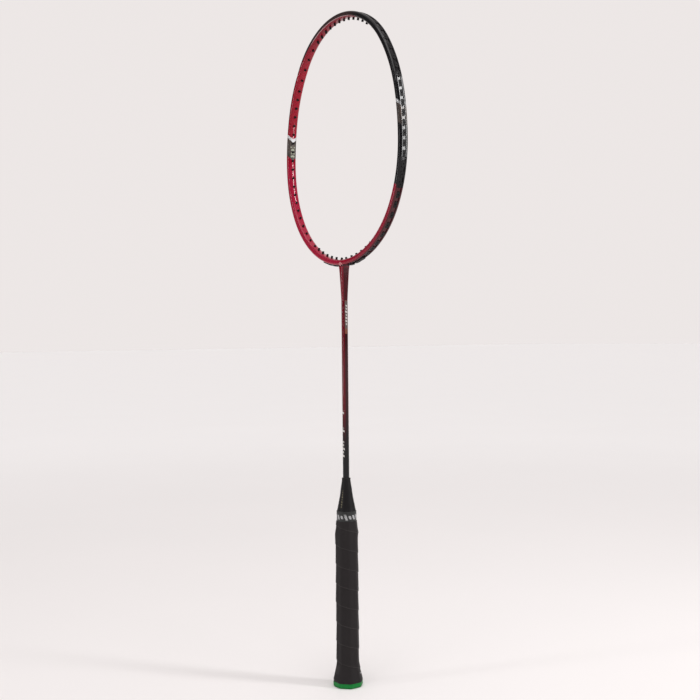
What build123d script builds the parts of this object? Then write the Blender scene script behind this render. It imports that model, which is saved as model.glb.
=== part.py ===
"""Badminton racket, unstrung: hollow carbon head and shaft on a wooden handle with a wound grip.

Frame: millimetres. The origin is the centre of the butt's flat bottom face, +Z runs up the handle and
the shaft to the top of the head, +X runs across the head, and Y is square to the face of the head.
"""
from build123d import *
import math
import os

# ---- driving dimensions -------------------------------------------------------------------------
TOTAL_LENGTH = 675.0      # butt to the top of the head
RIM_THICK = 5.6           # rim section, measured in the plane of the head
RIM_DEPTH = 9.8           # rim section, measured square to the face
RIM_ROUND = 2.3           # rounding of the rim's four corners
HEAD_HALF_WIDTH = 98.5    # from the shaft's axis to the rim's centreline, at its widest
HEAD_WIDEST_Z = 537.0     # height of the widest place
HEAD_LOW_REACH = 111.0    # from the widest place down to the rim's centreline above the throat
UPPER_RADII = (224.9, 140.1, 86.0)   # side, shoulder and crown arcs of the rim's centreline
LOWER_RADII = (149.4, 120.9, 95.1)   # side, corner and throat arcs
RIM_WALL = 1.2            # carbon wall of the rim

GROOVE_DEPTH = 0.8        # string groove around the outside of the rim
GROOVE_WIDTH = 4.3
HOLE_RADIUS = 1.2         # drilled string holes

BARREL_RADIUS = 1.15      # nylon grommets: barrel, bore and outer pad
BARREL_BORE = 0.6
BARREL_TAIL = 1.4         # how far a side barrel stands proud inside the head
BARREL_TAIL_LONG = 2.6    # the same at the crown and at the throat
PAD_LENGTH = 6.6
PAD_WIDTH = 3.7
PAD_THICK = 0.7
PAD_PROUD = 1.3           # the strip beside the throat stands this far out of the rim
LINK_WIDTH = 3.2          # its bridge between two grommets

SHAFT_RADIUS = 3.2
SHAFT_BORE = 2.0
SHAFT_FOOT_Z = 96.0       # the shaft's lower end, glued inside the handle
SHAFT_TOP_Z = 388.0       # where the shaft meets the throat
GLUE = 0.05               # glue line round the pieces that slide into one another

T_STEM_FOOT_Z = 352.0     # the T piece's stem reaches this far down the shaft
T_ARM_REACH = 27.0        # half the length of its arms along the rim

CORE_APOTHEM = 9.4        # octagonal wooden handle, axis to flat
CORE_SPIGOT_RADIUS = 8.2  # turned top end that carries the cone
CORE_SPIGOT_Z = 160.0
CORE_TOP_Z = 176.0
FLARE_TOP_Z = 24.0        # the handle widens from here down to the butt
BUTT_HEIGHT = 5.2         # visible height of the butt cap
BUTT_APOTHEM = 14.3
BUTT_FLOOR = 2.0
BUTT_CORNER = 6.0         # rounding of the butt's eight upright corners
BUTT_EDGE = 1.9           # and of its bottom edge
FOOT_APOTHEM = 12.0       # rebated foot of the wood, inside the butt cap

GRIP_THICK = 1.6
GRIP_TAPER_Z = 153.5      # the grip thins from here up to its end at the band
GRIP_TOP_Z = 166.5

COLLAR_RADIUS = 9.6       # cone's collar
CONE_SHOULDER_Z = 176.5
CONE_WAIST = ((8.2, 183.0), (6.55, 191.5), (5.4, 200.0))   # radius and height down its flank
CONE_TOP_Z = 209.6
CONE_TOP_RADIUS = 4.25
CONE_LIP = 0.15           # how far the ring at its top stands out
CONE_LIP_FOOT = 1.4       # the ring's foot, straight side and top edge, down from the top
CONE_LIP_SIDE = (1.0, 0.3)
CONE_SEAT = 1.5           # height of the taper inside, from the wood to the shaft
BAND_THICK = 0.4

TACK_Z = 13.5             # staple that pins the start of the grip, on the flat between +X and +Y
TACK_OUT = 12.85          # its distance from the axis
TACK_SLOPE = math.radians(12)
TACK_HALF_SPAN = 2.5
TACK_LEG = 4.0
TACK_WIRE = 0.35

# ---- worked-out sizes ---------------------------------------------------------------------------
HALF_RIM = RIM_THICK / 2
GROOVE_FLOOR = HALF_RIM - GROOVE_DEPTH
CAVITY_OUT = GROOVE_FLOOR - 0.7
CAVITY_IN = -(HALF_RIM - RIM_WALL)
CAVITY_DEPTH = RIM_DEPTH - 2 * RIM_WALL
CAVITY_ROUND = 0.9
CUT_HEIGHT = 30           # tall enough to cut a length of the rim with a box
HEAD_UP_REACH = TOTAL_LENGTH - HALF_RIM - HEAD_WIDEST_Z
THROAT_Z = HEAD_WIDEST_Z - HEAD_LOW_REACH

# Each zone of string holes on one side, by distance along the rim from the crown's centre:
# name, first hole, pitch, number of holes, tail of the barrels.
ZONES = (
    ("crown", 4.3, 8.7, 6, BARREL_TAIL_LONG),
    ("shoulder", 60.0, 12.0, 5, BARREL_TAIL),
    ("upper_side", 117.4, 9.4, 8, BARREL_TAIL),
    ("lower_side", 192.6, 9.5, 7, BARREL_TAIL),
    ("corner", 260.4, 11.1, 4, BARREL_TAIL),
    ("lower", 302.6, 9.0, 2, BARREL_TAIL_LONG),
)
LINKED = ("throat", 320.6, 9.0, 3, BARREL_TAIL_LONG)
INNERMOST = 346.4         # the pair that straddles the shaft leans away from it
INNERMOST_LEAN = 0.5

os.makedirs("parts", exist_ok=True)


# ---- the head's outline -------------------------------------------------------------------------
def quarter_arcs(reach, radii):
    """Three tangent arcs from the head's widest place to its end on the axis.

    Each is (centre x, centre rise, radius, start angle, end angle), with the rise and the angles
    measured from the widest place.
    """
    side_radius, shoulder_radius, end_radius = radii
    side_x = HEAD_HALF_WIDTH - side_radius
    end_rise = reach - end_radius
    span = math.hypot(side_x, end_rise)
    inner = side_radius - shoulder_radius
    outer = shoulder_radius - end_radius
    along = (span**2 + inner**2 - outer**2) / (2 * span)
    off = math.sqrt(inner**2 - along**2)
    unit_x = -side_x / span
    unit_rise = end_rise / span
    middle_x = side_x + along * unit_x + off * unit_rise
    middle_rise = along * unit_rise - off * unit_x
    first = math.degrees(math.atan2(middle_rise, middle_x - side_x))
    second = math.degrees(math.atan2(end_rise - middle_rise, -middle_x))
    return (
        (side_x, 0.0, side_radius, 0.0, first),
        (middle_x, middle_rise, shoulder_radius, first, second),
        (0.0, end_rise, end_radius, second, 90.0),
    )


def right_arcs():
    """The right half of the rim's centreline from the crown to the throat: (x, z, radius, from, to)."""
    upper = quarter_arcs(HEAD_UP_REACH, UPPER_RADII)
    lower = quarter_arcs(HEAD_LOW_REACH, LOWER_RADII)
    down = [(x, HEAD_WIDEST_Z + rise, r, end, start) for x, rise, r, start, end in reversed(upper)]
    down += [(x, HEAD_WIDEST_Z - rise, r, -start, -end) for x, rise, r, start, end in lower]
    return down


RIM_ARCS = right_arcs()


def rim_ring(inner, outer):
    """Flat ring on the XZ plane, between two offsets from the rim's centreline."""
    with BuildSketch(Plane.XZ) as ring:
        for offset, mode in ((outer, Mode.ADD), (inner, Mode.SUBTRACT)):
            with BuildLine():
                for x, z, radius, start, end in RIM_ARCS:
                    CenterArc((x, z), radius + offset, start, end - start)
                    CenterArc((-x, z), radius + offset, 180 - start, start - end)
            make_face(mode=mode)
    return ring.sketch


def seat(distance, side, lean=0.0):
    """Plane on the rim's centreline, its Z pointing out of the head, at this distance from the crown."""
    for x, z, radius, start, end in RIM_ARCS:
        sweep = math.radians(start - end) * radius
        if distance <= sweep:
            break
        distance -= sweep
    angle = math.radians(start) - distance / radius
    out_x, out_z = math.cos(angle), math.sin(angle)
    origin = (side * (x + radius * out_x), 0, z + radius * out_z)
    lean_x, lean_z = out_x - lean * out_z, out_z + lean * out_x
    return Plane(origin=origin, x_dir=(side * lean_z, 0, -lean_x), z_dir=(side * lean_x, 0, lean_z))


def hole_seats(side):
    """Every string hole's seat on one side."""
    seats = []
    for name, first, pitch, count, tail in (*ZONES, LINKED):
        seats += [seat(first + pitch * i, side) for i in range(count)]
    seats.append(seat(INNERMOST, side, INNERMOST_LEAN))
    return seats


# ---- head: hollow rim with its throat -----------------------------------------------------------
with BuildPart() as rim_cavity:
    extrude(rim_ring(CAVITY_IN, CAVITY_OUT), amount=CAVITY_DEPTH / 2, both=True)
    fillet(rim_cavity.faces().filter_by(Axis.Y).edges(), radius=CAVITY_ROUND)

STEM_STATIONS = (  # height, half width, half depth, squareness of the section: 2 is round
    (SHAFT_TOP_Z, SHAFT_RADIUS, SHAFT_RADIUS, 2.0),
    (395.0, 3.2, 3.5, 2.2),
    (402.0, 3.23, 3.85, 2.5),
    (409.0, 3.3, 4.25, 2.8),
    (416.0, 3.5, 4.65, 3.0),
)
FAIRING_STATIONS = (
    STEM_STATIONS[-1],
    (419.0, 3.85, 4.8, 3.0),
    (422.0, 4.95, 4.8, 3.0),
    (424.8, 7.6, 4.45, 3.0),
)


def throat_section(half_width, half_depth, squareness):
    """Rounded box section of the throat, as one closed curve."""
    points = []
    for i in range(24):
        turn = math.radians(15 * i)
        across, deep = math.cos(turn), math.sin(turn)
        x = half_width * math.copysign(abs(across) ** (2 / squareness), across)
        y = half_depth * math.copysign(abs(deep) ** (2 / squareness), deep)
        points.append((x, y))
    return points


with BuildPart() as head_frame:
    extrude(rim_ring(-HALF_RIM, HALF_RIM), amount=RIM_DEPTH / 2, both=True)
    fillet(head_frame.faces().filter_by(Axis.Y).edges(), radius=RIM_ROUND)
    extrude(rim_ring(GROOVE_FLOOR, HALF_RIM + 1), amount=GROOVE_WIDTH / 2, both=True, mode=Mode.SUBTRACT)
    for stations in (STEM_STATIONS, FAIRING_STATIONS):
        for height, half_width, half_depth, squareness in stations:
            with BuildSketch(Plane.XY.offset(height)):
                with BuildLine():
                    Spline(*throat_section(half_width, half_depth, squareness), periodic=True)
                make_face()
        loft()
    add(rim_cavity.part, mode=Mode.SUBTRACT)
    with BuildSketch(Plane.XY.offset(SHAFT_TOP_Z)):
        Circle(SHAFT_BORE)
    extrude(amount=THROAT_Z - SHAFT_TOP_Z, mode=Mode.SUBTRACT)
    for side in (1, -1):
        for hole in hole_seats(side):
            with BuildSketch(hole.offset(-HALF_RIM - 1.5)):
                Circle(HOLE_RADIUS)
            extrude(amount=RIM_THICK + 3.0, mode=Mode.SUBTRACT)

# ---- T piece sealed inside the throat -----------------------------------------------------------
with BuildPart() as t_joint:
    extrude(rim_ring(CAVITY_IN + GLUE, CAVITY_OUT - GLUE), amount=CAVITY_DEPTH / 2 - GLUE, both=True)
    fillet(t_joint.faces().filter_by(Axis.Y).edges(), radius=CAVITY_ROUND)
    with Locations((0, 0, THROAT_Z)):
        Box(2 * T_ARM_REACH, 2 * RIM_DEPTH, CUT_HEIGHT, mode=Mode.INTERSECT)
    with BuildSketch(Plane.XY.offset(T_STEM_FOOT_Z)):
        Circle(SHAFT_BORE - GLUE)
    extrude(amount=THROAT_Z - T_STEM_FOOT_Z)
    for side in (1, -1):
        for hole in hole_seats(side)[-4:]:
            with BuildSketch(hole.offset(-RIM_THICK)):
                Circle(HOLE_RADIUS)
            extrude(amount=2 * RIM_THICK, mode=Mode.SUBTRACT)

# ---- shaft --------------------------------------------------------------------------------------
with BuildPart() as shaft:
    with BuildSketch(Plane.XY.offset(SHAFT_FOOT_Z)):
        Circle(SHAFT_RADIUS)
        Circle(SHAFT_BORE, mode=Mode.SUBTRACT)
    extrude(amount=SHAFT_TOP_Z - SHAFT_FOOT_Z)


# ---- grommets -----------------------------------------------------------------------------------
def add_grommet(place, tail, pad_thick=PAD_THICK):
    """One grommet on its seat: outer pad in the groove, barrel through both walls, string bore."""
    if pad_thick:
        with BuildSketch(place.offset(GROOVE_FLOOR)) as pad:
            SlotOverall(PAD_LENGTH, PAD_WIDTH)
        extrude(pad.sketch, amount=pad_thick)
    foot = -HALF_RIM - tail
    head = GROOVE_FLOOR + pad_thick / 2 if pad_thick else HALF_RIM + 0.8
    with BuildSketch(place.offset(foot)) as barrel:
        Circle(BARREL_RADIUS)
    extrude(barrel.sketch, amount=head - foot)
    with BuildSketch(place.offset(foot - 1)) as bore:
        Circle(BARREL_BORE)
    extrude(bore.sketch, amount=head - foot + 2, mode=Mode.SUBTRACT)


def export(piece, name):
    """Label a finished piece and write its file."""
    piece.part.label = name
    export_step(piece.part, f"parts/{name}.step")


for side, hand in ((-1, "left"), (1, "right")):
    for zone, first, pitch, count, tail in ZONES:
        with BuildPart() as grommets:
            for i in range(count):
                add_grommet(seat(first + pitch * i, side), tail)
        export(grommets, f"grommets_{zone}_{hand}")

    zone, first, pitch, count, tail = LINKED
    linked = [seat(first + pitch * i, side) for i in range(count)]
    outer_x, inner_x = linked[0].origin.X, linked[1].origin.X
    with BuildPart() as grommet_strip:
        extrude(rim_ring(GROOVE_FLOOR + 0.1, HALF_RIM + PAD_PROUD), amount=LINK_WIDTH / 2, both=True)
        with Locations(((outer_x + inner_x) / 2, 0, THROAT_Z)):
            Box(abs(outer_x - inner_x), RIM_DEPTH, CUT_HEIGHT, mode=Mode.INTERSECT)
        for place in linked:
            add_grommet(place, tail, GROOVE_DEPTH + PAD_PROUD)
    export(grommet_strip, f"grommet_strip_{hand}")

    with BuildPart() as throat_grommet:
        add_grommet(seat(INNERMOST, side, INNERMOST_LEAN), BARREL_TAIL_LONG, 0)
    export(throat_grommet, f"grommet_throat_{hand}")


# ---- handle -------------------------------------------------------------------------------------
def octagon(apothem):
    """Octagon with flats towards X and Y."""
    return RegularPolygon(apothem, 8, major_radius=False, rotation=22.5)


FLARE = (  # height, how far the wood's flat stands out beyond the plain handle
    (FLARE_TOP_Z, 0.0),
    (20.0, 0.55),
    (15.2, 1.47),
    (7.1, 3.2),
    (BUTT_HEIGHT, 3.3),
)


def flare_loft(margin):
    """Flared octagonal butt, its flats moved out by margin from the wood's."""
    faces = []
    for height, spread in FLARE:
        with BuildSketch(Plane.XY.offset(height)) as station:
            octagon(CORE_APOTHEM + spread + margin)
        faces.append(station.sketch.face())
    loft(faces, ruled=True)


with BuildPart() as handle_core:
    with BuildSketch(Plane.XY.offset(FLARE_TOP_Z)):
        octagon(CORE_APOTHEM)
    extrude(amount=CORE_SPIGOT_Z - FLARE_TOP_Z)
    with BuildSketch(Plane.XY.offset(CORE_SPIGOT_Z)):
        Circle(CORE_SPIGOT_RADIUS)
    extrude(amount=CORE_TOP_Z - CORE_SPIGOT_Z)
    flare_loft(0.0)
    with BuildSketch(Plane.XY.offset(BUTT_FLOOR)):
        octagon(FOOT_APOTHEM)
    extrude(amount=BUTT_HEIGHT - BUTT_FLOOR)
    with BuildSketch(Plane.XY.offset(SHAFT_FOOT_Z)):
        Circle(SHAFT_RADIUS + GLUE)
    extrude(amount=CORE_TOP_Z - SHAFT_FOOT_Z, mode=Mode.SUBTRACT)

with BuildPart() as butt_cap:
    with BuildSketch():
        octagon(BUTT_APOTHEM)
        fillet(vertices(), radius=BUTT_CORNER)
    extrude(amount=BUTT_HEIGHT)
    fillet(butt_cap.faces().sort_by(Axis.Z)[0].edges(), radius=BUTT_EDGE)
    with BuildSketch(Plane.XY.offset(BUTT_FLOOR)):
        octagon(FOOT_APOTHEM + GLUE)
    extrude(amount=BUTT_HEIGHT - BUTT_FLOOR, mode=Mode.SUBTRACT)

with BuildPart() as grip_tape:
    with BuildSketch(Plane.XY.offset(FLARE_TOP_Z)):
        octagon(CORE_APOTHEM + GRIP_THICK)
    extrude(amount=GRIP_TAPER_Z - FLARE_TOP_Z)
    with BuildSketch(Plane.XY.offset(GRIP_TAPER_Z)):
        octagon(CORE_APOTHEM + GRIP_THICK)
    with BuildSketch(Plane.XY.offset(GRIP_TOP_Z)):
        octagon(COLLAR_RADIUS + BAND_THICK)
    loft()
    flare_loft(GRIP_THICK)
    with BuildSketch(Plane.XY.offset(FLARE_TOP_Z)):
        octagon(CORE_APOTHEM + GLUE)
    extrude(amount=CORE_SPIGOT_Z - FLARE_TOP_Z, mode=Mode.SUBTRACT)
    with BuildSketch(Plane.XY.offset(CORE_SPIGOT_Z)):
        Circle(COLLAR_RADIUS + GLUE)
    extrude(amount=GRIP_TOP_Z - CORE_SPIGOT_Z, mode=Mode.SUBTRACT)
    add(handle_core.part, mode=Mode.SUBTRACT)

# ---- cone and finishing band --------------------------------------------------------------------
with BuildPart() as cone_cap:
    with BuildSketch(Plane.XZ):
        with BuildLine():
            Polyline(
                (CORE_SPIGOT_RADIUS + GLUE, CORE_SPIGOT_Z + GLUE),
                (COLLAR_RADIUS, CORE_SPIGOT_Z + GLUE),
                (COLLAR_RADIUS, CONE_SHOULDER_Z),
            )
            Spline(
                (COLLAR_RADIUS, CONE_SHOULDER_Z),
                *CONE_WAIST,
                (CONE_TOP_RADIUS, CONE_TOP_Z - CONE_LIP_FOOT),
                tangents=((-0.3, 1), (-0.08, 1)),
            )
            Polyline(
                (CONE_TOP_RADIUS, CONE_TOP_Z - CONE_LIP_FOOT),
                (CONE_TOP_RADIUS + CONE_LIP, CONE_TOP_Z - CONE_LIP_SIDE[0]),
                (CONE_TOP_RADIUS + CONE_LIP, CONE_TOP_Z - CONE_LIP_SIDE[1]),
                (CONE_TOP_RADIUS - CONE_LIP, CONE_TOP_Z),
                (SHAFT_RADIUS + GLUE, CONE_TOP_Z),
                (SHAFT_RADIUS + GLUE, CORE_TOP_Z + CONE_SEAT),
                (CORE_SPIGOT_RADIUS + GLUE, CORE_TOP_Z + GLUE),
                (CORE_SPIGOT_RADIUS + GLUE, CORE_SPIGOT_Z + GLUE),
            )
        make_face()
    revolve(axis=Axis.Z)

with BuildPart() as finishing_band:
    with BuildSketch(Plane.XY.offset(GRIP_TOP_Z)):
        Circle(COLLAR_RADIUS + BAND_THICK)
        Circle(COLLAR_RADIUS + GLUE, mode=Mode.SUBTRACT)
    extrude(amount=CONE_SHOULDER_Z - GRIP_TOP_Z)

# ---- staple at the start of the grip ------------------------------------------------------------
tack_normal = Vector(1, 1, 0).normalized() * math.cos(TACK_SLOPE) + Vector(0, 0, math.sin(TACK_SLOPE))
tack_origin = Vector(1, 1, 0).normalized() * TACK_OUT + Vector(0, 0, TACK_Z)
tack_plane = Plane(origin=tack_origin, x_dir=(-1, 1, 0), z_dir=tack_normal.cross(Vector(1, -1, 0)))


def staple(wire_radius):
    """Bent wire: a crown lying on the tape, and two legs that run into the wood."""
    with BuildPart(mode=Mode.PRIVATE) as bent:
        with BuildLine(tack_plane) as wire:
            FilletPolyline(
                (-TACK_HALF_SPAN, -TACK_LEG),
                (-TACK_HALF_SPAN, TACK_WIRE),
                (TACK_HALF_SPAN, TACK_WIRE),
                (TACK_HALF_SPAN, -TACK_LEG),
                radius=3 * TACK_WIRE,
            )
        with BuildSketch(Plane(origin=wire.line @ 0, z_dir=wire.line % 0)):
            Circle(wire_radius)
        sweep()
    return bent.part


with BuildPart() as grip_tack:
    add(staple(TACK_WIRE))

for pierced in (grip_tape, handle_core):
    with pierced:
        add(staple(TACK_WIRE + GLUE), mode=Mode.SUBTRACT)

export(head_frame, "head_frame")
export(t_joint, "t_joint")
export(shaft, "shaft")
export(handle_core, "handle_core")
export(butt_cap, "butt_cap")
export(grip_tape, "grip_tape")
export(cone_cap, "cone_cap")
export(finishing_band, "finishing_band")
export(grip_tack, "grip_tack")
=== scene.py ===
# %% [markdown]
# # An unstrung badminton racket
# The racket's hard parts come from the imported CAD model, which this script never moves. What is added
# here is what CAD leaves plain: the lacquer with its painted bands, the wound grip, and the light.

# %% Load the frame
import math

import bpy
import numpy as np
from mathutils import Matrix, Quaternion, Vector


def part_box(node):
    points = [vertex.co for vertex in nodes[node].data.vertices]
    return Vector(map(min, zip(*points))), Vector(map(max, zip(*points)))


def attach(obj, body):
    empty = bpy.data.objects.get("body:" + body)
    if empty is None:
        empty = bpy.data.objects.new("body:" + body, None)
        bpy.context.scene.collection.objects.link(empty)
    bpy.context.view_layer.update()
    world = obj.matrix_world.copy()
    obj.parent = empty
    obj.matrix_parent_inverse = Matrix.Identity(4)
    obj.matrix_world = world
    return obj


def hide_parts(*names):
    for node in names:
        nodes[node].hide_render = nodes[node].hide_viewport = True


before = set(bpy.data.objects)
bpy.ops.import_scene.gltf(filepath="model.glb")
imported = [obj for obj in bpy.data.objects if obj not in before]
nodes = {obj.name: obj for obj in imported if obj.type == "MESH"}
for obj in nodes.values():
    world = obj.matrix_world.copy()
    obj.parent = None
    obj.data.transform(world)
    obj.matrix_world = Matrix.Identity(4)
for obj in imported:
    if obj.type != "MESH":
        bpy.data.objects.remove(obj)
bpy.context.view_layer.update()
MM = 0.001

# %% [markdown]
# ## Reading sizes off the frame
# The painted bands have to follow the rim, so the script needs the rim's centreline. It could be
# copied from the CAD source, but reading it from the head's own points keeps the two in step: the
# widest point gives the half width and its height, and the throat's height is where the inner wall
# crosses the axis above the stem.

# %% Measure the head
NEAR_AXIS = 1.5 * MM      # points this near the axis belong to the crown or to the throat
NEAR_TOP = 20 * MM        # and to the crown if they are also this near the top
NEAR_SIDE = 0.02 * MM     # points this near the right side are the widest ones

head_points = np.array([v.co for v in nodes["head_frame"].data.vertices])
head_low, head_high = (np.array(corner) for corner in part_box("head_frame"))
rim_depth = head_high[1] - head_low[1]
on_axis = head_points[np.abs(head_points[:, 0]) < NEAR_AXIS]
crown_inside = on_axis[on_axis[:, 2] > head_high[2] - NEAR_TOP, 2].min()
half_rim = (head_high[2] - crown_inside) / 2
widest_z = float(np.median(head_points[head_points[:, 0] > head_high[0] - NEAR_SIDE, 2]))
throat_inside = on_axis[on_axis[:, 2] < widest_z, 2].max()
rim_half_width = head_high[0] - half_rim
rim_up = head_high[2] - half_rim - widest_z
rim_down = widest_z - (throat_inside - half_rim)
print("rim: half width %.2f, up %.2f, down %.2f, half thickness %.2f mm, widest at %.1f" % tuple(
    size / MM for size in (rim_half_width, rim_up, rim_down, half_rim, widest_z)))

# %% [markdown]
# ## The camera
# The racket stands upright and is seen from its side, about 55 degrees round from the face of the
# head, by a camera at the height of the middle of the shaft. A track-to constraint would aim it, but
# a rotation worked out from the aim is plain numbers and can take the slight roll as well.

# %% Place the camera
VIEW_AZIMUTH = math.radians(55.52)
VIEW_DISTANCE = 1.1214
VIEW_HEIGHT = 0.3518
AIM_HEIGHT = 0.3381
AIM_ASIDE = 0.0051
ROLL = math.radians(-0.554)
FIELD = math.radians(34.84)
SENSOR = 36

across = Vector((math.cos(VIEW_AZIMUTH), math.sin(VIEW_AZIMUTH), 0))
towards = Vector((math.sin(VIEW_AZIMUTH), -math.cos(VIEW_AZIMUTH), 0))
eye = towards * VIEW_DISTANCE + Vector((0, 0, VIEW_HEIGHT))
aim = across * AIM_ASIDE + Vector((0, 0, AIM_HEIGHT))
camera_data = bpy.data.cameras.new("camera")
camera_data.sensor_width = SENSOR
camera_data.angle = FIELD
camera = bpy.data.objects.new("camera", camera_data)
camera.location = eye
camera.rotation_mode = "QUATERNION"
camera.rotation_quaternion = (aim - eye).to_track_quat("-Z", "Y") @ Quaternion((0, 0, 1), ROLL)
bpy.context.collection.objects.link(camera)
bpy.context.scene.camera = camera
print("camera at", [round(c, 3) for c in eye])

# %% [markdown]
# ## Writing shader maths as expressions
# Painted bands are arithmetic on position: where along the rim, how far out from its centreline. A
# node tree for that is long to wire by hand. So `Value` wraps one socket, and its operators add Math
# nodes, with their reflected forms, so that `1 - mask` works too.

# %% A socket that can be calculated with
class Value:
    """One number, colour or vector socket of a node tree, usable in expressions."""

    def __init__(self, finish, socket):
        self.finish = finish
        self.socket = socket

    def maths(self, operation, *others, turned=False):
        operands = [self, *others]
        if turned:
            operands.reverse()
        return self.finish.node("ShaderNodeMath", {"operation": operation}, dict(enumerate(operands)))

    def __add__(self, other):
        return self.maths("ADD", other)

    def __sub__(self, other):
        return self.maths("SUBTRACT", other)

    def __mul__(self, other):
        return self.maths("MULTIPLY", other)

    def __truediv__(self, other):
        return self.maths("DIVIDE", other)

    def __rsub__(self, other):
        return self.maths("SUBTRACT", other, turned=True)

    def __rtruediv__(self, other):
        return self.maths("DIVIDE", other, turned=True)

    def __pow__(self, other):
        return self.maths("POWER", other)

    def __abs__(self):
        return self.maths("ABSOLUTE")

    __radd__ = __add__
    __rmul__ = __mul__

    def larger(self, other):
        return self.maths("MAXIMUM", other)

    def above(self, edge, soft):
        """1 where the value is over edge and 0 where it is under, blending over soft."""
        low = edge - soft / 2
        return self.finish.node("ShaderNodeMapRange", {"interpolation_type": "SMOOTHSTEP"},
                                {"Value": self, "From Min": low, "From Max": low + soft})

    def below(self, edge, soft):
        return 1 - self.above(edge, soft)

    def between(self, low, high, soft):
        return self.above(low, soft) * self.below(high, soft)


print("a value takes + - * / ** and abs, and knows larger, above, below and between")

# %% [markdown]
# Every other node comes from one method, which takes the node's type, its settings and the values or
# links of its sockets. Colours are mixed with Mix nodes, because a Math node would turn them grey.
# `marks` is the one pattern made for this racket: its printed lines are rows of short slanted strokes.

# %% Wiring a node tree
MARK_SLANT = 0.35
MARK_SPAN = (0.15, 0.72, 0.12)   # start, end and softness of a stroke, as shares of the pitch
MARK_SIZES = (0.7, 0.25)         # the strokes' mean height, as a share, and how far it changes
MARK_CHANGE = 2.4                # how fast it changes along the row
MARK_SOFT = 0.2 * MM


class Wiring:
    """Makes nodes in one node tree."""

    def __init__(self, tree):
        self.tree = tree

    def node(self, kind, settings=None, inputs=None, output=0):
        made = self.tree.nodes.new(kind)
        for setting, value in (settings or {}).items():
            setattr(made, setting, value)
        for socket, value in (inputs or {}).items():
            self.plug(made.inputs[socket], value)
        return Value(self, made.outputs[output])

    def plug(self, socket, value):
        if isinstance(value, Value):
            self.tree.links.new(value.socket, socket)
        else:
            socket.default_value = value

    def split(self, vector):
        parts = self.node("ShaderNodeSeparateXYZ", inputs={0: vector})
        return [Value(self, socket) for socket in parts.socket.node.outputs]

    def blend(self, share, under, over):
        """Colour under where share is 0 and over where it is 1."""
        mix = self.node("ShaderNodeMix", {"data_type": "RGBA"}, {"Factor": share}).socket.node
        colours = [socket for socket in mix.inputs if socket.type == "RGBA"]
        self.plug(colours[0], under)
        self.plug(colours[1], over)
        return Value(self, next(socket for socket in mix.outputs if socket.type == "RGBA"))

    def marks(self, along, aside, pitch, half_width):
        """A row of small slanted marks of uneven size, for a printed line that says nothing."""
        step = (along + aside * MARK_SLANT) / pitch
        part = step.maths("FRACT")
        size = (step.maths("FLOOR") * MARK_CHANGE).maths("SINE") * MARK_SIZES[1] + MARK_SIZES[0]
        return part.between(*MARK_SPAN) * (half_width * size - abs(aside)).above(0, MARK_SOFT)

    def noise(self, vector, scale, detail=2.0, roughness=0.5):
        return self.node("ShaderNodeTexNoise", inputs={
            "Vector": vector, "Scale": scale, "Detail": detail, "Roughness": roughness})

    def stretch(self, vector, by):
        return self.node("ShaderNodeVectorMath", {"operation": "MULTIPLY"}, {0: vector, 1: by})


print("wiring adds nodes, blends colours and prints marks")

# %% [markdown]
# A finish is a material with one Principled shader. What varies goes only into colour, roughness,
# metallic and normal. Constants are set on the shader's own sockets, where an export keeps them.

# %% Finishes and paint
class Finish(Wiring):
    """A material with one Principled shader, and the nodes that feed it."""

    def __init__(self, name, **constants):
        self.material = bpy.data.materials.new(name)
        self.material.use_nodes = True
        super().__init__(self.material.node_tree)
        self.shader = self.tree.nodes["Principled BSDF"]
        for socket, value in constants.items():
            self.shader.inputs[socket.replace("_", " ")].default_value = value

    def feed(self, socket, value):
        self.plug(self.shader.inputs[socket], value)

    def place(self):
        """The position on the piece, as a vector and as its three numbers."""
        vector = self.node("ShaderNodeTexCoord", output="Object")
        return vector, *self.split(vector)

    def bump(self, height, distance, strength=1.0):
        self.feed("Normal", self.node("ShaderNodeBump", inputs={
            "Height": height, "Distance": distance, "Strength": strength}))


def tint(red, green, blue):
    """Colour from the 0 to 255 values of a paint card, as the linear numbers a shader takes."""
    linear = []
    for part in (red, green, blue):
        part /= 255
        linear.append(part / 12.92 if part <= 0.04045 else ((part + 0.055) / 1.055) ** 2.4)
    return (*linear, 1)


def wear(node, finish):
    """Give a CAD node this finish."""
    data = nodes[node].data
    data.materials.clear()
    data.materials.append(finish.material)


print("paint card grey 128 is", round(tint(128, 128, 128)[0], 3), "to a shader")

# %% [markdown]
# ## The world
# Lacquer shows what stands round it, so the world isn't plain white. A pale backdrop stands behind the
# racket and a pale ceiling over it, and the rest of the room is dim, which keeps the black lacquer
# black. Only reflections and bounced light meet the dim room: a view has the pale backdrop all round.

# %% World
PAPER_WHITE = (0.845, 0.80, 0.79, 1)
ROOM_GREY = (0.13, 0.125, 0.125, 1)
BACKDROP_EDGE = (-0.72, 0.3)     # cosine where the backdrop gives way to the room, and how softly
CEILING_EDGE = (0.75, 0.4)       # the same for the ceiling, by height

scene = bpy.context.scene
scene.view_settings.view_transform = "Standard"
world = bpy.data.worlds.new("studio")
scene.world = world
world.use_nodes = True
backdrop = world.node_tree.nodes["Background"]
sky = Wiring(world.node_tree)
direction = sky.node("ShaderNodeTexCoord", output="Generated")
facing = sky.node("ShaderNodeVectorMath", {"operation": "DOT_PRODUCT"}, {
    0: direction, 1: tuple(towards)}, output="Value")
ceiling = sky.split(direction)[2].above(*CEILING_EDGE)
room = facing.above(*BACKDROP_EDGE) * (1 - ceiling)
seen = sky.node("ShaderNodeLightPath", output="Is Camera Ray")
sky.plug(backdrop.inputs["Color"], sky.blend(room * (1 - seen), PAPER_WHITE, ROOM_GREY))
backdrop.inputs["Strength"].default_value = 1.0
print("world:", len(sky.tree.nodes), "nodes, for a pale backdrop and ceiling and a dim room")
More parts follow.
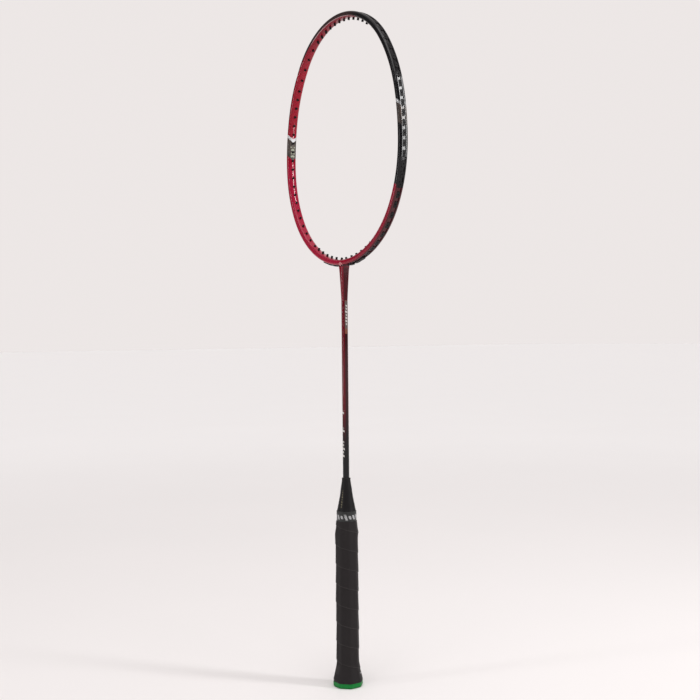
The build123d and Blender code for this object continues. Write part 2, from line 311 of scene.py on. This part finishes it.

# %% [markdown]
# ## The floor
# The floor is plain matte paper. A paper sweep would hide the horizon, but it has a wall that a camera
# behind the racket runs into. Instead the paper is painted lighter far away, painted light that lets it
# meet the pale world without a hard line.

# %% Paper floor
FLOOR_SIZE = 60
PAPER_CLOUD = 3.0
FAR_EDGE = (1.0, 14.0)           # squared distance where the lighter tint takes over, and how softly

bpy.ops.object.select_all(action="DESELECT")
bpy.ops.mesh.primitive_grid_add(x_subdivisions=8, y_subdivisions=8, size=FLOOR_SIZE, location=(0, 0, 0))
floor = bpy.context.object
floor.name = "floor"

paper = Finish("paper", Roughness=0.9, Specular_IOR_Level=0.1)
vector, x, y, _ = paper.place()
far = (x * x + y * y).above(*FAR_EDGE)
cloud = paper.noise(vector, PAPER_CLOUD)
near_tone = paper.blend(cloud, tint(229, 225, 224), tint(232, 227, 226))
# painted light: the far paper gets a lighter tint, to blend into the pale world
far_painted_light = paper.blend(cloud, tint(252, 250, 250), tint(254, 252, 252))
paper.feed("Base Color", paper.blend(far, near_tone, far_painted_light))
floor.data.materials.append(paper.material)
print("floor:", FLOOR_SIZE, "m of", paper.material.name)

# %% [markdown]
# ## Light
# Long soft reflections are what make lacquer look like lacquer, so tall strips of light stand beside
# the racket. The right one is in two parts, which follow the curve of the head's side as the lacquer
# mirrors it. The lower part is a little weaker, so that the reflection fades on its way down. The
# left one has a narrowed beam, which leaves no bright pool on the floor. A wide sun stands for a
# window.

# %% Soft boxes and window
WINDOW_POWER = 1.33
WINDOW_WIDTH = math.radians(50)
WINDOW_LEAN = 0.5                # how far it leans from overhead to the camera's side


def soft_box(name, foot, head, wide, watts, spread=180):
    """Strip light standing between two points, facing the head of the racket."""
    foot = Vector(foot)
    head = Vector(head)
    up = head - foot
    light = bpy.data.lights.new(name, "AREA")
    light.shape = "RECTANGLE"
    light.size = wide
    light.size_y = up.length
    light.energy = watts
    light.spread = math.radians(spread)
    lamp = bpy.data.objects.new(name, light)
    lamp.location = (foot + head) / 2
    side = up.cross(lamp.location - Vector((0, 0, widest_z))).normalized()
    axes = Matrix((side, up.normalized(), side.cross(up).normalized())).transposed()
    lamp.rotation_mode = "QUATERNION"
    lamp.rotation_quaternion = axes.to_quaternion()
    bpy.context.collection.objects.link(lamp)


soft_box("soft_box_right", (0.867, 0.639, 0.72), (0.790, 0.737, 1.40), 0.105, 5.8)
soft_box("soft_box_right_low", (0.895, 0.604, 0.47), (0.868, 0.638, 0.71), 0.105, 1.6)
soft_box("soft_box_left", (-0.38, -1.45, 0.20), (-0.38, -1.45, 1.40), 0.16, 1.5, spread=90)

sun = bpy.data.lights.new("window", "SUN")
sun.energy = WINDOW_POWER
sun.angle = WINDOW_WIDTH
window = bpy.data.objects.new("window", sun)
shine = -(towards * WINDOW_LEAN + Vector((0, 0, 1)))
window.rotation_mode = "QUATERNION"
window.rotation_quaternion = shine.to_track_quat("-Z", "Y")
bpy.context.collection.objects.link(window)
print("light:", len(bpy.data.lights), "lamps, the window among them")

# %% [markdown]
# ## The head's lacquer
# The head is moulded carbon under crimson and black lacquer. All its bands hang on one number, the
# reach: how far a point lies out from the rim's centreline. The centreline is close to a
# superellipse, whose formula gives the reach in a few Math nodes. The inner and outer faces are told
# from the front and back ones where the section's rounded corner passes 45 degrees.

# %% Reach, inside and outside
SQUARENESS = 2.1
PAINT_EDGE = 0.3 * MM     # softness of a masked edge
SPRAY_EDGE = 0.5 * MM     # and of one that was sprayed freely
HALVES_SOFT = 2 * MM      # over this the upper and lower halves of the outline meet
SIDES_SOFT = 4 * MM       # and over this the paint of the left and right sides

lacquer = Finish("head_lacquer", Specular_IOR_Level=0.32)
vector, x, y, z = lacquer.place()
rise = z - widest_z
limit = rim_down + rise.above(0.0, HALVES_SOFT) * (rim_up - rim_down)
oval = (abs(x) / rim_half_width) ** SQUARENESS + (abs(rise) / limit) ** SQUARENESS
oval = oval ** (1 / SQUARENESS)
ray = (x * x + rise * rise) ** 0.5
reach = ray * (1 - 1 / oval)
half_depth = rim_depth / 2
to_edge = half_depth - abs(y)
inside = (to_edge - reach - half_rim).above(0, PAINT_EDGE)
outside = (to_edge + reach - half_rim).above(0, PAINT_EDGE)
left = x.below(0, SIDES_SOFT)
print("reach: from a superellipse of squareness", SQUARENESS)

# %% [markdown]
# The lower edge of the black differs from side to side. On the right it is one sloping line. On the
# left it is the foot of the bronze block. The block and the chevron over it slant the same way, so
# `climb` is a height that slants as they do: it falls off towards the faces of the rim and across the
# front.

# %% Lower edges of the black
LOW_EDGE = 0.4955         # where the right side turns crimson, going down
LOW_EDGE_LEAN = 0.5
LOW_EDGE_STEP = 3 * MM    # the outer face turns crimson this much lower
CHEVRON_SLOPE = 0.7
FRONT_SLOPE = 0.5
CHEVRON_SHIFT = 4.4 * MM  # the left chevron sits lower than the right one by this
BLOCK_LOW = 0.5435
LINE_SOFT = 1.0 * MM
DARK_FROM = 0.2           # the left side's front stays dark from this share of half the rim outwards
DARK_FOOT = (0.478, 0.03)

low_right = (z + LOW_EDGE_LEAN * (reach + half_rim) + LOW_EDGE_STEP * outside).below(LOW_EDGE, LINE_SOFT)
front_girth = (half_rim + reach * (2 * left - 1)).larger(0) * (1 - inside) * (1 - outside)
climb = z - abs(y) * CHEVRON_SLOPE - front_girth * FRONT_SLOPE
climb = climb + left * CHEVRON_SHIFT - CHEVRON_SHIFT / 2
dark_edge = (reach - DARK_FROM * half_rim).above(0, SPRAY_EDGE) * z.above(*DARK_FOOT)
low_left = climb.below(BLOCK_LOW, LINE_SOFT) * (1 - dark_edge)
low = left * low_left + (1 - left) * low_right
print("black ends at %.1f mm on the right and %.1f on the left" % (LOW_EDGE / MM, BLOCK_LOW / MM))

# %% [markdown]
# Sprayed lacquer isn't one flat colour. Fine flake lightens it in specks. The crimson is wine on the right
# and deep on the stem. On the lower left, where the inner face turns up, it is painted rosier and lighter
# as painted light, and at the crown, where the faces turn down, it is painted dusky as painted shade.
# Each tone is a pair of close tints that the flake blends.

# %% Tones of the lacquer
SPECKS = 0.25             # share of the lighter tint in a speck
BROWN_FROM = (0.656, 0.02)
BROWN_END = (24 * MM, 24 * MM)
PAINTED_LIGHT_UNDER = (0.536, 0.016)
WINE_FROM = (10 * MM, 60 * MM)
STEM_TOP = 0.4215         # the stem's own paint starts here, going down
DEEP_UNDER = (STEM_TOP - 1 * MM, 8 * MM)
CROWN_BLACK = 0.654       # where the black on the left side's front face grows wide, going up
PAINTED_SHADE_SOFT = 0.07

mottle = lacquer.noise(vector, 420.0, 3.0, 0.6)
sparkle = lacquer.noise(vector, 2600.0, 1.0, 0.5).above(0.55, 0.3) * SPECKS


def flaked(plain, speck):
    """Lacquer of one tone with its flake."""
    return lacquer.blend(sparkle, tint(*plain), tint(*speck))


brown = z.above(*BROWN_FROM) * (1 - outside) * x.below(*BROWN_END)
black = lacquer.blend(brown, tint(18, 16, 19), tint(54, 38, 38))
black = lacquer.blend(mottle.above(0.6, 0.2) * outside * 0.25, black, tint(62, 58, 62))
crimson = flaked((150, 0, 34), (172, 4, 38))
# painted light: below the widest point on the left the crimson is painted lighter and rosier
crimson = lacquer.blend(z.below(*PAINTED_LIGHT_UNDER) * left, crimson, flaked((160, 22, 54), (178, 34, 62)))
crimson = lacquer.blend(x.above(*WINE_FROM), crimson, flaked((138, 12, 42), (152, 22, 52)))
crimson = lacquer.blend(z.below(*DEEP_UNDER), crimson, flaked((118, 4, 30), (130, 14, 38)))
# painted shade: at the crown the crimson is painted dusky
crimson = lacquer.blend(z.above(CROWN_BLACK, PAINTED_SHADE_SOFT), crimson, flaked((112, 8, 30), (130, 20, 40)))
maroon = flaked((70, 22, 28), (84, 32, 38))
print("tones: a black that browns at the crown, five crimsons and a maroon")

# %% [markdown]
# The masks now lay the colours from the ground up: each line paints over the one before, as a sprayer
# does with masking tape. On the left and over the crown the front is crimson inside and black
# outside, and high up a pale line is painted where the two meet: a painted highlight of the rounded corner
# there.

# %% Black and crimson
BLACK_SHARE = (0.1, 0.8, 0.05)   # where on the front black starts, how far it grows, and how softly
RED_FRONT_END = (26 * MM, 16 * MM)
RED_INSIDE_END = (30 * MM, 16 * MM)
HIGHLIGHT_LINE_SPAN = (-0.5 * MM, 0.1 * MM)
HIGHLIGHT_LINE_FOOT = (0.655, 8 * MM)
HIGHLIGHT_LINE_END = (18 * MM, 16 * MM)
STEM_TOP_SOFT = 2 * MM
STEM_CORNER_SOFT = 0.4 * MM

black_from = half_rim * (BLACK_SHARE[0] - BLACK_SHARE[1] * z.above(CROWN_BLACK, BLACK_SHARE[2]))
red_front = (black_from - reach).above(0, SPRAY_EDGE) * (1 - outside) * x.below(*RED_FRONT_END)
red_inside = inside * x.below(*RED_INSIDE_END)
# painted highlight: a pale line along the edge of the black, high up, where the rounded corner catches the
# light
painted_highlight_line = (reach - black_from).between(*HIGHLIGHT_LINE_SPAN, PAINT_EDGE) * z.above(*HIGHLIGHT_LINE_FOOT)
painted_highlight_line = painted_highlight_line * x.below(*HIGHLIGHT_LINE_END) * (1 - inside)
stem_side = (abs(x) - abs(y)).above(0, STEM_CORNER_SOFT) * z.below(STEM_TOP, STEM_TOP_SOFT)
dark_side = (outside * z.above(STEM_TOP, STEM_TOP_SOFT)).larger(stem_side)
paint = lacquer.blend(red_front.larger(red_inside).larger(low), black, crimson)
paint = lacquer.blend(dark_side * low, paint, maroon)
# the pale line is a painted highlight, not a paint colour
paint = lacquer.blend(painted_highlight_line * 0.7, paint, tint(196, 160, 162))
print("ground coat:", len(lacquer.tree.nodes), "nodes so far")

# %% [markdown]
# A silver chevron over a bronze block marks both sides. The block is brushed, with streaks that run
# up the racket, and inside the rim it carries a few pale marks. A small rhombus sits on the throat.

# %% Chevron, block and emblem
CHEVRON_TIP = 0.5622
CHEVRON_WIDE = 3.4 * MM
SIDE_FROM = 0.6           # share of the half width past which the chevron and the block show
BRUSHING = (900.0, 900.0, 60.0)
BLOCK_MARKS = (0.5455, 0.5565)
EMBLEM_HEIGHT = 0.4245
EMBLEM_HALVES = (3.0 * MM, 2.1 * MM)
EMBLEM_LINE = (0.45, 1.0, 0.25)

on_side = abs(x).above(SIDE_FROM * rim_half_width, 1 * MM)
block = climb.between(BLOCK_LOW, CHEVRON_TIP, PAINT_EDGE) * on_side
chevron = climb.between(CHEVRON_TIP, CHEVRON_TIP + CHEVRON_WIDE, PAINT_EDGE) * on_side
streak = lacquer.noise(lacquer.stretch(vector, BRUSHING), 1.0, 2.0)
bronze = lacquer.blend(streak.above(0.5, 0.2), tint(92, 80, 74), tint(58, 52, 50))
paint = lacquer.blend(block, paint, bronze)
block_marks = lacquer.marks(z, abs(y) - 1.0 * MM, 3.4 * MM, 1.9 * MM)
block_marks = block_marks * climb.between(*BLOCK_MARKS, PAINT_EDGE) * on_side * inside
paint = lacquer.blend(block_marks * 0.8, paint, tint(176, 182, 160))
silver = lacquer.blend(outside, tint(205, 206, 208), tint(128, 128, 130))
paint = lacquer.blend(chevron, paint, silver)
rhombus = abs(x) / EMBLEM_HALVES[0] + abs(z - EMBLEM_HEIGHT) / EMBLEM_HALVES[1]
emblem = rhombus.between(*EMBLEM_LINE) * (abs(y) - half_depth / 2).above(0, SPRAY_EDGE)
paint = lacquer.blend(emblem, paint, tint(214, 150, 150))
print("marked: a chevron %.1f mm wide over the block" % (CHEVRON_WIDE / MM))

# %% [markdown]
# The gloss is the shader's base layer at low roughness. A clear coat would be nearer to the real
# paint, but a coat doesn't follow the bump. The bump crowns the inner face very slightly, which draws
# the strip light's reflection out into a narrow line, and adds the faint unevenness of a sprayed
# surface.

# %% Gloss of the head
GLOSS = 0.11
CROWNING = -32.0
ORANGE_PEEL = 0.004 * MM

lacquer.feed("Base Color", paint)
lacquer.feed("Roughness", GLOSS + 0.05 * mottle + 0.3 * (block + chevron) * inside)
lacquer.feed("Metallic", chevron * 0.4 * (1 - outside))
crowned = y * y * CROWNING * inside
lacquer.bump(crowned + lacquer.noise(vector, 500.0, 1.0) * ORANGE_PEEL, 1.0)
wear("head_frame", lacquer)
print("head painted:", len(lacquer.tree.nodes), "nodes in the finish")

# %% [markdown]
# ## The shaft's lacquer
# The shaft starts crimson at the throat and fades to black on the way down to the cone. The fade is
# a ramp on height, and the same fine flake keeps it from looking like plain plastic. Its flanks are
# darker than its front and back.

# %% Lacquer for the shaft
FADE_LOW = 0.238
FADE_HIGH = 0.290
FRONT_SHARE = 1.5
FRONT_SOFT = 1.4 * MM

shaft_lacquer = Finish("shaft_lacquer", Coat_Roughness=0.07, Coat_Weight=0.9, Coat_IOR=1.4,
                       Specular_IOR_Level=0.0)
vector, x, y, z = shaft_lacquer.place()
fade = shaft_lacquer.node("ShaderNodeMapRange", {"interpolation_type": "SMOOTHSTEP"}, {
    "Value": z, "From Min": FADE_LOW, "From Max": FADE_HIGH})
flake = shaft_lacquer.noise(vector, 2600.0, 1.0)
front = (abs(y) * FRONT_SHARE - abs(x)).above(0, FRONT_SOFT)
crimson = shaft_lacquer.blend(flake.above(0.5, 0.4) * 0.4, tint(98, 2, 20), tint(112, 12, 30))
flank = shaft_lacquer.blend(flake, tint(44, 14, 17), tint(58, 20, 24))
colour = shaft_lacquer.blend(front, flank, crimson)
colour = shaft_lacquer.blend(fade, tint(18, 16, 19), colour)
print("shaft fades to black from %.0f down to %.0f mm" % (FADE_HIGH / MM, FADE_LOW / MM))

# %% [markdown]
# The prints go on last: a strip at each side with a row of marks, coppery at its ends and grey in
# between, and lower down three short rows of marks on the front and the back.

# %% Prints on the shaft
STRIP = (0.3545, 0.3905, 0.6 * MM)
STRIP_GREY = (0.3595, 0.3875, 3 * MM)
STRIP_SHARE = 0.6
STRIP_MARKS = (0.3625, 0.3835)
FRONT_ROWS = ((0.2305, 0.2465), (0.2545, 0.2600), (0.2725, 0.2775))
ROW_EDGE = 0.2 * MM

side_strip = (abs(x) * STRIP_SHARE - abs(y)).above(0, SPRAY_EDGE) * z.between(*STRIP)
side_tint = shaft_lacquer.blend(z.between(*STRIP_GREY), tint(132, 84, 68), tint(104, 96, 92))
colour = shaft_lacquer.blend(side_strip * 0.9, colour, side_tint)
side_marks = shaft_lacquer.marks(z, y, 3.1 * MM, 1.3 * MM) * z.between(*STRIP_MARKS, ROW_EDGE)
row_1, row_2, row_3 = (z.between(low_end, high_end, ROW_EDGE) for low_end, high_end in FRONT_ROWS)
front_marks = shaft_lacquer.marks(z, x, 3.6 * MM, 1.9 * MM) * front * (row_1 + row_2 + row_3)
printed = (side_marks * side_strip).larger(front_marks)
shaft_lacquer.feed("Base Color", shaft_lacquer.blend(printed, colour, tint(206, 202, 198)))
shaft_lacquer.feed("Roughness", 0.28 + 0.1 * flake)
shaft_lacquer.bump(shaft_lacquer.noise(vector, 600.0, 1.0), 0.02 * MM, 0.5)
wear("shaft", shaft_lacquer)
print("shaft painted:", len(shaft_lacquer.tree.nodes), "nodes in the finish")

# %% [markdown]
# ## Moulded plastics
# The cone and the butt cap are injection moulded, with the faint grain that such parts have. One
# function gives both, and the grommets' nylon, because only colour, gloss and grain differ. The cone
# also has one printed line down its flank.

# %% Cone, butt cap and grommets
PRINT_TURN = 1.25         # radians from +X round the front to the cone's printed line
PRINT_RADIUS = 8 * MM
PRINT_SPAN = (0.1795, 0.1975)


def moulded(name, dark, light, roughness, grain, sheen):
    """Moulded plastic: two close tints, a fine grain and patchy gloss."""
    finish = Finish(name, Specular_IOR_Level=sheen)
    vector, *_ = finish.place()
    patch = finish.noise(vector, 160.0, 3.0)
    finish.feed("Base Color", finish.blend(patch, tint(*dark), tint(*light)))
    finish.feed("Roughness", roughness - 0.08 + 0.16 * patch)
    finish.bump(finish.noise(vector, grain, 2.0), 0.04 * MM, 0.6)
    return finish


cone_plastic = moulded("cone_plastic", (15, 13, 15), (23, 20, 22), 0.5, 1800.0, 0.25)
butt_plastic = moulded("butt_plastic", (4, 118, 46), (10, 132, 56), 0.45, 1600.0, 0.25)
nylon = moulded("grommet_nylon", (14, 13, 14), (26, 24, 26), 0.5, 2500.0, 0.2)
vector, x, y, z = cone_plastic.place()
print_side = (y.maths("ARCTAN2", x) + PRINT_TURN) * PRINT_RADIUS
print_line = cone_plastic.marks(z, print_side, 2.4 * MM, 0.9 * MM) * z.between(*PRINT_SPAN, PAINT_EDGE)
plain = Value(cone_plastic, cone_plastic.shader.inputs["Base Color"].links[0].from_socket)
cone_plastic.feed("Base Color", cone_plastic.blend(print_line * 0.55, plain, tint(148, 140, 112)))
wear("cone_cap", cone_plastic)
wear("butt_cap", butt_plastic)
grommet_nodes = [name for name in nodes if name.startswith("grommet")]
for name in grommet_nodes:
    wear(name, nylon)
print("moulded: cone, butt cap and", len(grommet_nodes), "grommet nodes")

# %% [markdown]
# ## The finishing band
# A strip of printed tape ties down the top of the grip. Its print is a row of broad marks, hatched by
# a second and finer row. The film has fine wrinkles that run round the handle.

# %% Finishing band
BROAD_MARKS = (4.3 * MM, 3.2 * MM)   # pitch and half height
FINE_MARKS = (2.15 * MM, 2.6 * MM)
FINE_LEAN = 0.8
PRINT_LEVEL = 0.85                   # height of the print's middle, as a share of half the band
WRINKLES = (300.0, 300.0, 1500.0)

band_tape = Finish("band_tape")
vector, x, y, z = band_tape.place()
band_low, band_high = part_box("finishing_band")
half_band = (band_high[2] - band_low[2]) / 2
around = y.maths("ARCTAN2", x) * band_high[0]
middle = z - band_low[2] - PRINT_LEVEL * half_band
broad = band_tape.marks(around, middle, *BROAD_MARKS)
fine = band_tape.marks(around + middle * FINE_LEAN, middle, *FINE_MARKS)
band_print = broad * (0.45 + 0.55 * fine)
film = band_tape.blend(band_tape.noise(vector, 300.0), tint(26, 25, 26), tint(42, 44, 44))
band_tape.feed("Base Color", band_tape.blend(band_print * 0.9, film, tint(202, 202, 204)))
band_tape.feed("Roughness", 0.34 + 0.2 * band_tape.noise(vector, 240.0))
band_tape.bump(band_tape.noise(band_tape.stretch(vector, WRINKLES), 1.0, 3.0), 0.1 * MM, 0.5)
wear("finishing_band", band_tape)
print("band:", round(2 * half_band / MM, 1), "mm wide")

# %% [markdown]
# ## Hidden pieces
# The wood, the T piece and the staple hardly show, but they are real pieces, so each gets its own
# finish: wood with its grain along the handle, bare carbon and drawn wire.

# %% Wood, bare carbon and wire
WOOD_GRAIN = (700.0, 700.0, 30.0)

wood = Finish("handle_wood")
vector, *_ = wood.place()
grain = wood.noise(wood.stretch(vector, WOOD_GRAIN), 1.0, 4.0)
wood.feed("Base Color", wood.blend(grain, tint(176, 132, 86), tint(206, 170, 120)))
wood.feed("Roughness", 0.5 + 0.25 * grain)
wood.bump(grain, 0.1 * MM, 0.5)
wear("handle_core", wood)

carbon = Finish("bare_carbon", Roughness=0.4)
vector, *_ = carbon.place()
weave = carbon.node("ShaderNodeTexWave", {"wave_type": "BANDS", "bands_direction": "DIAGONAL"}, {
    "Vector": vector, "Scale": 260.0, "Distortion": 1.0})
carbon.feed("Base Color", carbon.blend(weave, tint(18, 18, 20), tint(48, 48, 52)))
carbon.bump(weave, 0.05 * MM, 0.5)
wear("t_joint", carbon)

steel = Finish("staple_wire", Metallic=1.0, Roughness=0.35)
vector, *_ = steel.place()
steel.feed("Base Color", steel.blend(steel.noise(vector, 900.0), tint(170, 170, 172), tint(205, 205, 208)))
wear("grip_tack", steel)
print("hidden pieces finished: wood, bare carbon and wire")

# %% [markdown]
# ## The wound grip
# The grip is one strip of polyurethane tape, 25 mm wide, wound up the handle with each turn lapping
# the one below. A sleeve with a painted spiral would be easier, but the laps show at the outline. So
# the strip is made flat at its real size, given its thickness, and then wound: each point's length
# along the strip becomes a turn about the handle, and its place across the strip a height.

# %% Cut the strip flat
TAPE_WIDTH = 25 * MM
TAPE_THICK = 1.6 * MM
PITCH = 19.4 * MM
MEAN_RADIUS = 11.6 * MM
STEPS_PER_TURN = 96
STEPS_ACROSS = 18

turn_length = 2 * math.pi * MEAN_RADIUS
grip_low, grip_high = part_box("grip_tape")
turns = (grip_high[2] - grip_low[2] + TAPE_WIDTH) / PITCH
tape_length = turns * turn_length
steps_along = round(turns * STEPS_PER_TURN)

bpy.ops.object.select_all(action="DESELECT")
bpy.ops.mesh.primitive_grid_add(x_subdivisions=steps_along, y_subdivisions=STEPS_ACROSS, size=1)
grip = bpy.context.object
grip.name = "wound_grip"
bpy.ops.object.mode_set(mode="EDIT")
bpy.ops.mesh.select_all(action="SELECT")
bpy.ops.transform.translate(value=(0.5, 0.5, 0))
bpy.ops.transform.resize(value=(tape_length, TAPE_WIDTH, 1), center_override=(0, 0, 0))
bpy.ops.mesh.extrude_region_move(TRANSFORM_OT_translate={"value": (0, 0, -TAPE_THICK)})
bpy.ops.object.mode_set(mode="OBJECT")
print("strip: %.0f by %.0f mm, %.1f turns" % (tape_length / MM, TAPE_WIDTH / MM, turns))

# %% [markdown]
# Winding needs the handle's size at every height. The CAD sleeve's outline has only a few stations,
# so its widest point at each station is read and the heights between them are interpolated. The
# octagon's corners are rounded, because tape doesn't fold sharply over them.

# %% Read the handle's outline
ON_CORNER = 0.1 * MM
OUTER_WALL = 0.69         # share of the sleeve's half width past which a point is on its outer wall
CORNER_POWER = 22         # higher for sharper corners

sleeve = np.array([v.co for v in nodes["grip_tape"].data.vertices])
corner = np.abs(np.abs(sleeve[:, 1]) - sleeve[:, 0] * math.tan(math.pi / 8)) < ON_CORNER
corner &= sleeve[:, 0] > OUTER_WALL * grip_high[0]
stations = {}
for point in sleeve[corner]:
    level = round(float(point[2]), 4)
    stations[level] = max(stations.get(level, 0.0), float(point[0]))
levels = sorted(stations)
flats = [stations[level] for level in levels]


def rounded_octagon(turn):
    """Radius over a unit flat at this turn, with soft corners."""
    total = sum(np.abs(np.cos(turn - k * math.pi / 4)) ** CORNER_POWER for k in range(4))
    return total ** (-1 / CORNER_POWER)


print("outline:", [(round(h / MM, 1), round(w / MM, 2)) for h, w in zip(levels, flats)])

# %% [markdown]
# Each turn's lower edge lies on the turn below and stands proud, and its upper edge lies sunk under
# the next turn. So the tape's outer face slopes across its width. Its inner face lies on the wood,
# except at the lap, where it lies on the turn below. The tape is doubled over at the top, so the turn
# there stands a little prouder.

# %% Shape the tape's two faces
LAP_PROUD = 0.30 * MM     # the lapping edge stands this far out
LAP_SINK = 0.30 * MM      # and the edge under the next turn lies this far in
LAP_CURVE = 0.8
LAP_AIR = 0.02 * MM       # air between a lap and the turn under it
LAP_EASE = 0.06           # share of the width over which the tape steps up on to the lap
LAP = (TAPE_WIDTH - PITCH) / TAPE_WIDTH
WOOD_FLAT = 9.45 * MM     # where the tape lies on the wood, at a height where the handle is straight
STRAIGHT = 0.1
TOP_TURN = ((0, 0.0), (0.146, 0.0), (0.151, 0.30), (0.1555, 0.35), (0.1585, 0.05), (1, 0.0))

top_heights, top_proud = zip(*TOP_TURN)


def top_of_tape(share, height):
    """How far the tape's outer face stands from the axis, before the octagon's corners."""
    flat = np.interp(height, levels, flats) + MM * np.interp(height, top_heights, top_proud)
    return flat + LAP_PROUD - (LAP_PROUD + LAP_SINK) * np.clip(share, 0, 1) ** LAP_CURVE


def bottom_of_tape(share, height):
    """How far its inner face stands out: on the wood, or at the lap on the turn below."""
    below = top_of_tape(share + PITCH / TAPE_WIDTH, height) + LAP_AIR
    core = np.interp(height, levels, flats) - (np.interp(STRAIGHT, levels, flats) - WOOD_FLAT)
    return core + (below - core) * np.clip((LAP + LAP_EASE - share) / LAP_EASE, 0, 1)


print("lap: %.1f mm of the %.0f mm width" % (LAP * TAPE_WIDTH / MM, TAPE_WIDTH / MM))

# %% [markdown]
# The points are packed closer near the strip's edges, where the tape steps up, and the edges are
# rounded off a little. A slow ripple keeps the turns from looking machined.

# %% Wind the strip
START_ANGLE = math.radians(27.7)
PACKING = 0.65
EDGE_SHARE = 0.035
EDGE_ROUND = 0.22 * MM
RIPPLE = 0.05 * MM
RIPPLE_RISE = 9 * MM
RIPPLE_WAVES = (3, 5, 8)

mesh = grip.data
flat_points = np.array([v.co for v in mesh.vertices])
along = flat_points[:, 0]
share = flat_points[:, 1] / TAPE_WIDTH
depth = -flat_points[:, 2] / TAPE_THICK
share = (1 - PACKING) * share + PACKING * (1 - np.cos(math.pi * share)) / 2
turned = along / turn_length
height = grip_low[2] - TAPE_WIDTH + PITCH * turned + TAPE_WIDTH * share
angle = START_ANGLE - 2 * math.pi * turned

rng = np.random.default_rng(7)
ripple = sum(RIPPLE * np.sin(k * angle + phase) * np.sin(height / RIPPLE_RISE + 2 * phase)
             for k, phase in zip(RIPPLE_WAVES, rng.uniform(0, 6, 3)))
near_low = np.clip(1 - share / EDGE_SHARE, 0, 1)
near_high = np.clip(1 - (1 - share) / EDGE_SHARE, 0, 1)
edge_round = EDGE_ROUND * (near_low ** 2 + near_high ** 2)
outer = top_of_tape(share, height) + ripple - edge_round
inner = bottom_of_tape(share, height)
radius = (outer * (1 - depth) + inner * depth) * rounded_octagon(angle)
wound = np.stack([radius * np.cos(angle), radius * np.sin(angle), height], axis=1)
mesh.vertices.foreach_set("co", wound.ravel())
mesh.update()
print("wound:", len(mesh.vertices), "points")

# %% [markdown]
# The strip starts below the grip's lower end and runs on past its upper end, so it is trimmed flush
# at both, as a knife does it. Bisect cuts and closes in one go. A cut can leave doubled points, which
# are merged before the normals are turned outwards.

# %% Trim the ends
TRIM = 0.05 * MM
DOUBLES = 0.002 * MM
SMOOTH_ANGLE = math.radians(40)

for cut, up in ((grip_low[2] + TRIM, -1), (grip_high[2] - TRIM, 1)):
    bpy.ops.object.mode_set(mode="EDIT")
    bpy.ops.mesh.select_all(action="SELECT")
    bpy.ops.mesh.bisect(plane_co=(0, 0, cut), plane_no=(0, 0, up), clear_outer=True, use_fill=True)
    bpy.ops.object.mode_set(mode="OBJECT")
bpy.ops.object.mode_set(mode="EDIT")
bpy.ops.mesh.select_all(action="SELECT")
bpy.ops.mesh.remove_doubles(threshold=DOUBLES)
bpy.ops.mesh.normals_make_consistent(inside=False)
bpy.ops.object.mode_set(mode="OBJECT")
bpy.ops.object.shade_smooth_by_angle(angle=SMOOTH_ANGLE)
print("trimmed:", len(grip.data.polygons), "faces")

# %% [markdown]
# Grip tape is matte, with fine pores. Its lapping edge is painted paler, a painted highlight where the
# step catches the light. That pattern has to follow the strip round the handle, so it uses the strip's own
# UV map, scaled to metres. Only the creases near the butt, where the tape is pulled over the flare, are
# placed by position; they are bumped, and also painted paler as painted highlights.

# %% Finish the grip
PORES = 1500.0
LAP_HIGHLIGHT_EDGE = (0.9 * MM, 0.8 * MM)
CREASE_PITCH = 1.9 * MM
CREASE_LEAN = 0.9
CREASE_LINE = (0.1, 0.45, 0.3)
CREASE_HEIGHTS = (0.0135, 0.0215, 2 * MM)
CREASE_FRONT = (-8 * MM, 2 * MM)
CREASE_SIDES = (-7 * MM, 2 * MM, 3 * MM)

grip_finish = Finish("grip_tape", Specular_IOR_Level=0.3)
uv = grip_finish.node("ShaderNodeUVMap", {"uv_map": grip.data.uv_layers[0].name})
on_tape = grip_finish.stretch(uv, (tape_length, TAPE_WIDTH, 1.0))
# painted highlight along each turn's lapping edge
lap_highlight = grip_finish.split(on_tape)[1].below(*LAP_HIGHLIGHT_EDGE)
pores = grip_finish.node("ShaderNodeTexVoronoi", {"feature": "F1"}, {"Vector": on_tape, "Scale": PORES})
cloud = grip_finish.noise(on_tape, 90.0, 4.0)
_, x, y, z = grip_finish.place()
crease_and_highlight = ((z + CREASE_LEAN * x) / CREASE_PITCH).maths("FRACT").between(*CREASE_LINE)
crease_and_highlight = crease_and_highlight * z.between(*CREASE_HEIGHTS) * y.below(*CREASE_FRONT) * x.between(*CREASE_SIDES)
hide = grip_finish.blend(cloud, tint(24, 20, 21), tint(36, 31, 32))
# painted highlights: the lap edges and the crease lines are painted paler, as lit ridges
painted_highlights = lap_highlight.larger(crease_and_highlight) * 0.5
grip_finish.feed("Base Color", grip_finish.blend(painted_highlights, hide, tint(84, 80, 80)))
grip_finish.feed("Roughness", 0.56 + 0.14 * cloud)
grip_finish.bump(pores + cloud * 0.6 + crease_and_highlight * 3.0, 0.08 * MM, 0.7)
grip.data.materials.append(grip_finish.material)
print("grip finished:", len(grip_finish.tree.nodes), "nodes in the finish")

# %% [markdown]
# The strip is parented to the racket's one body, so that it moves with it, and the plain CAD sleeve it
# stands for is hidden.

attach(grip, "root")
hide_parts("grip_tape")
print("declared:", grip.name)
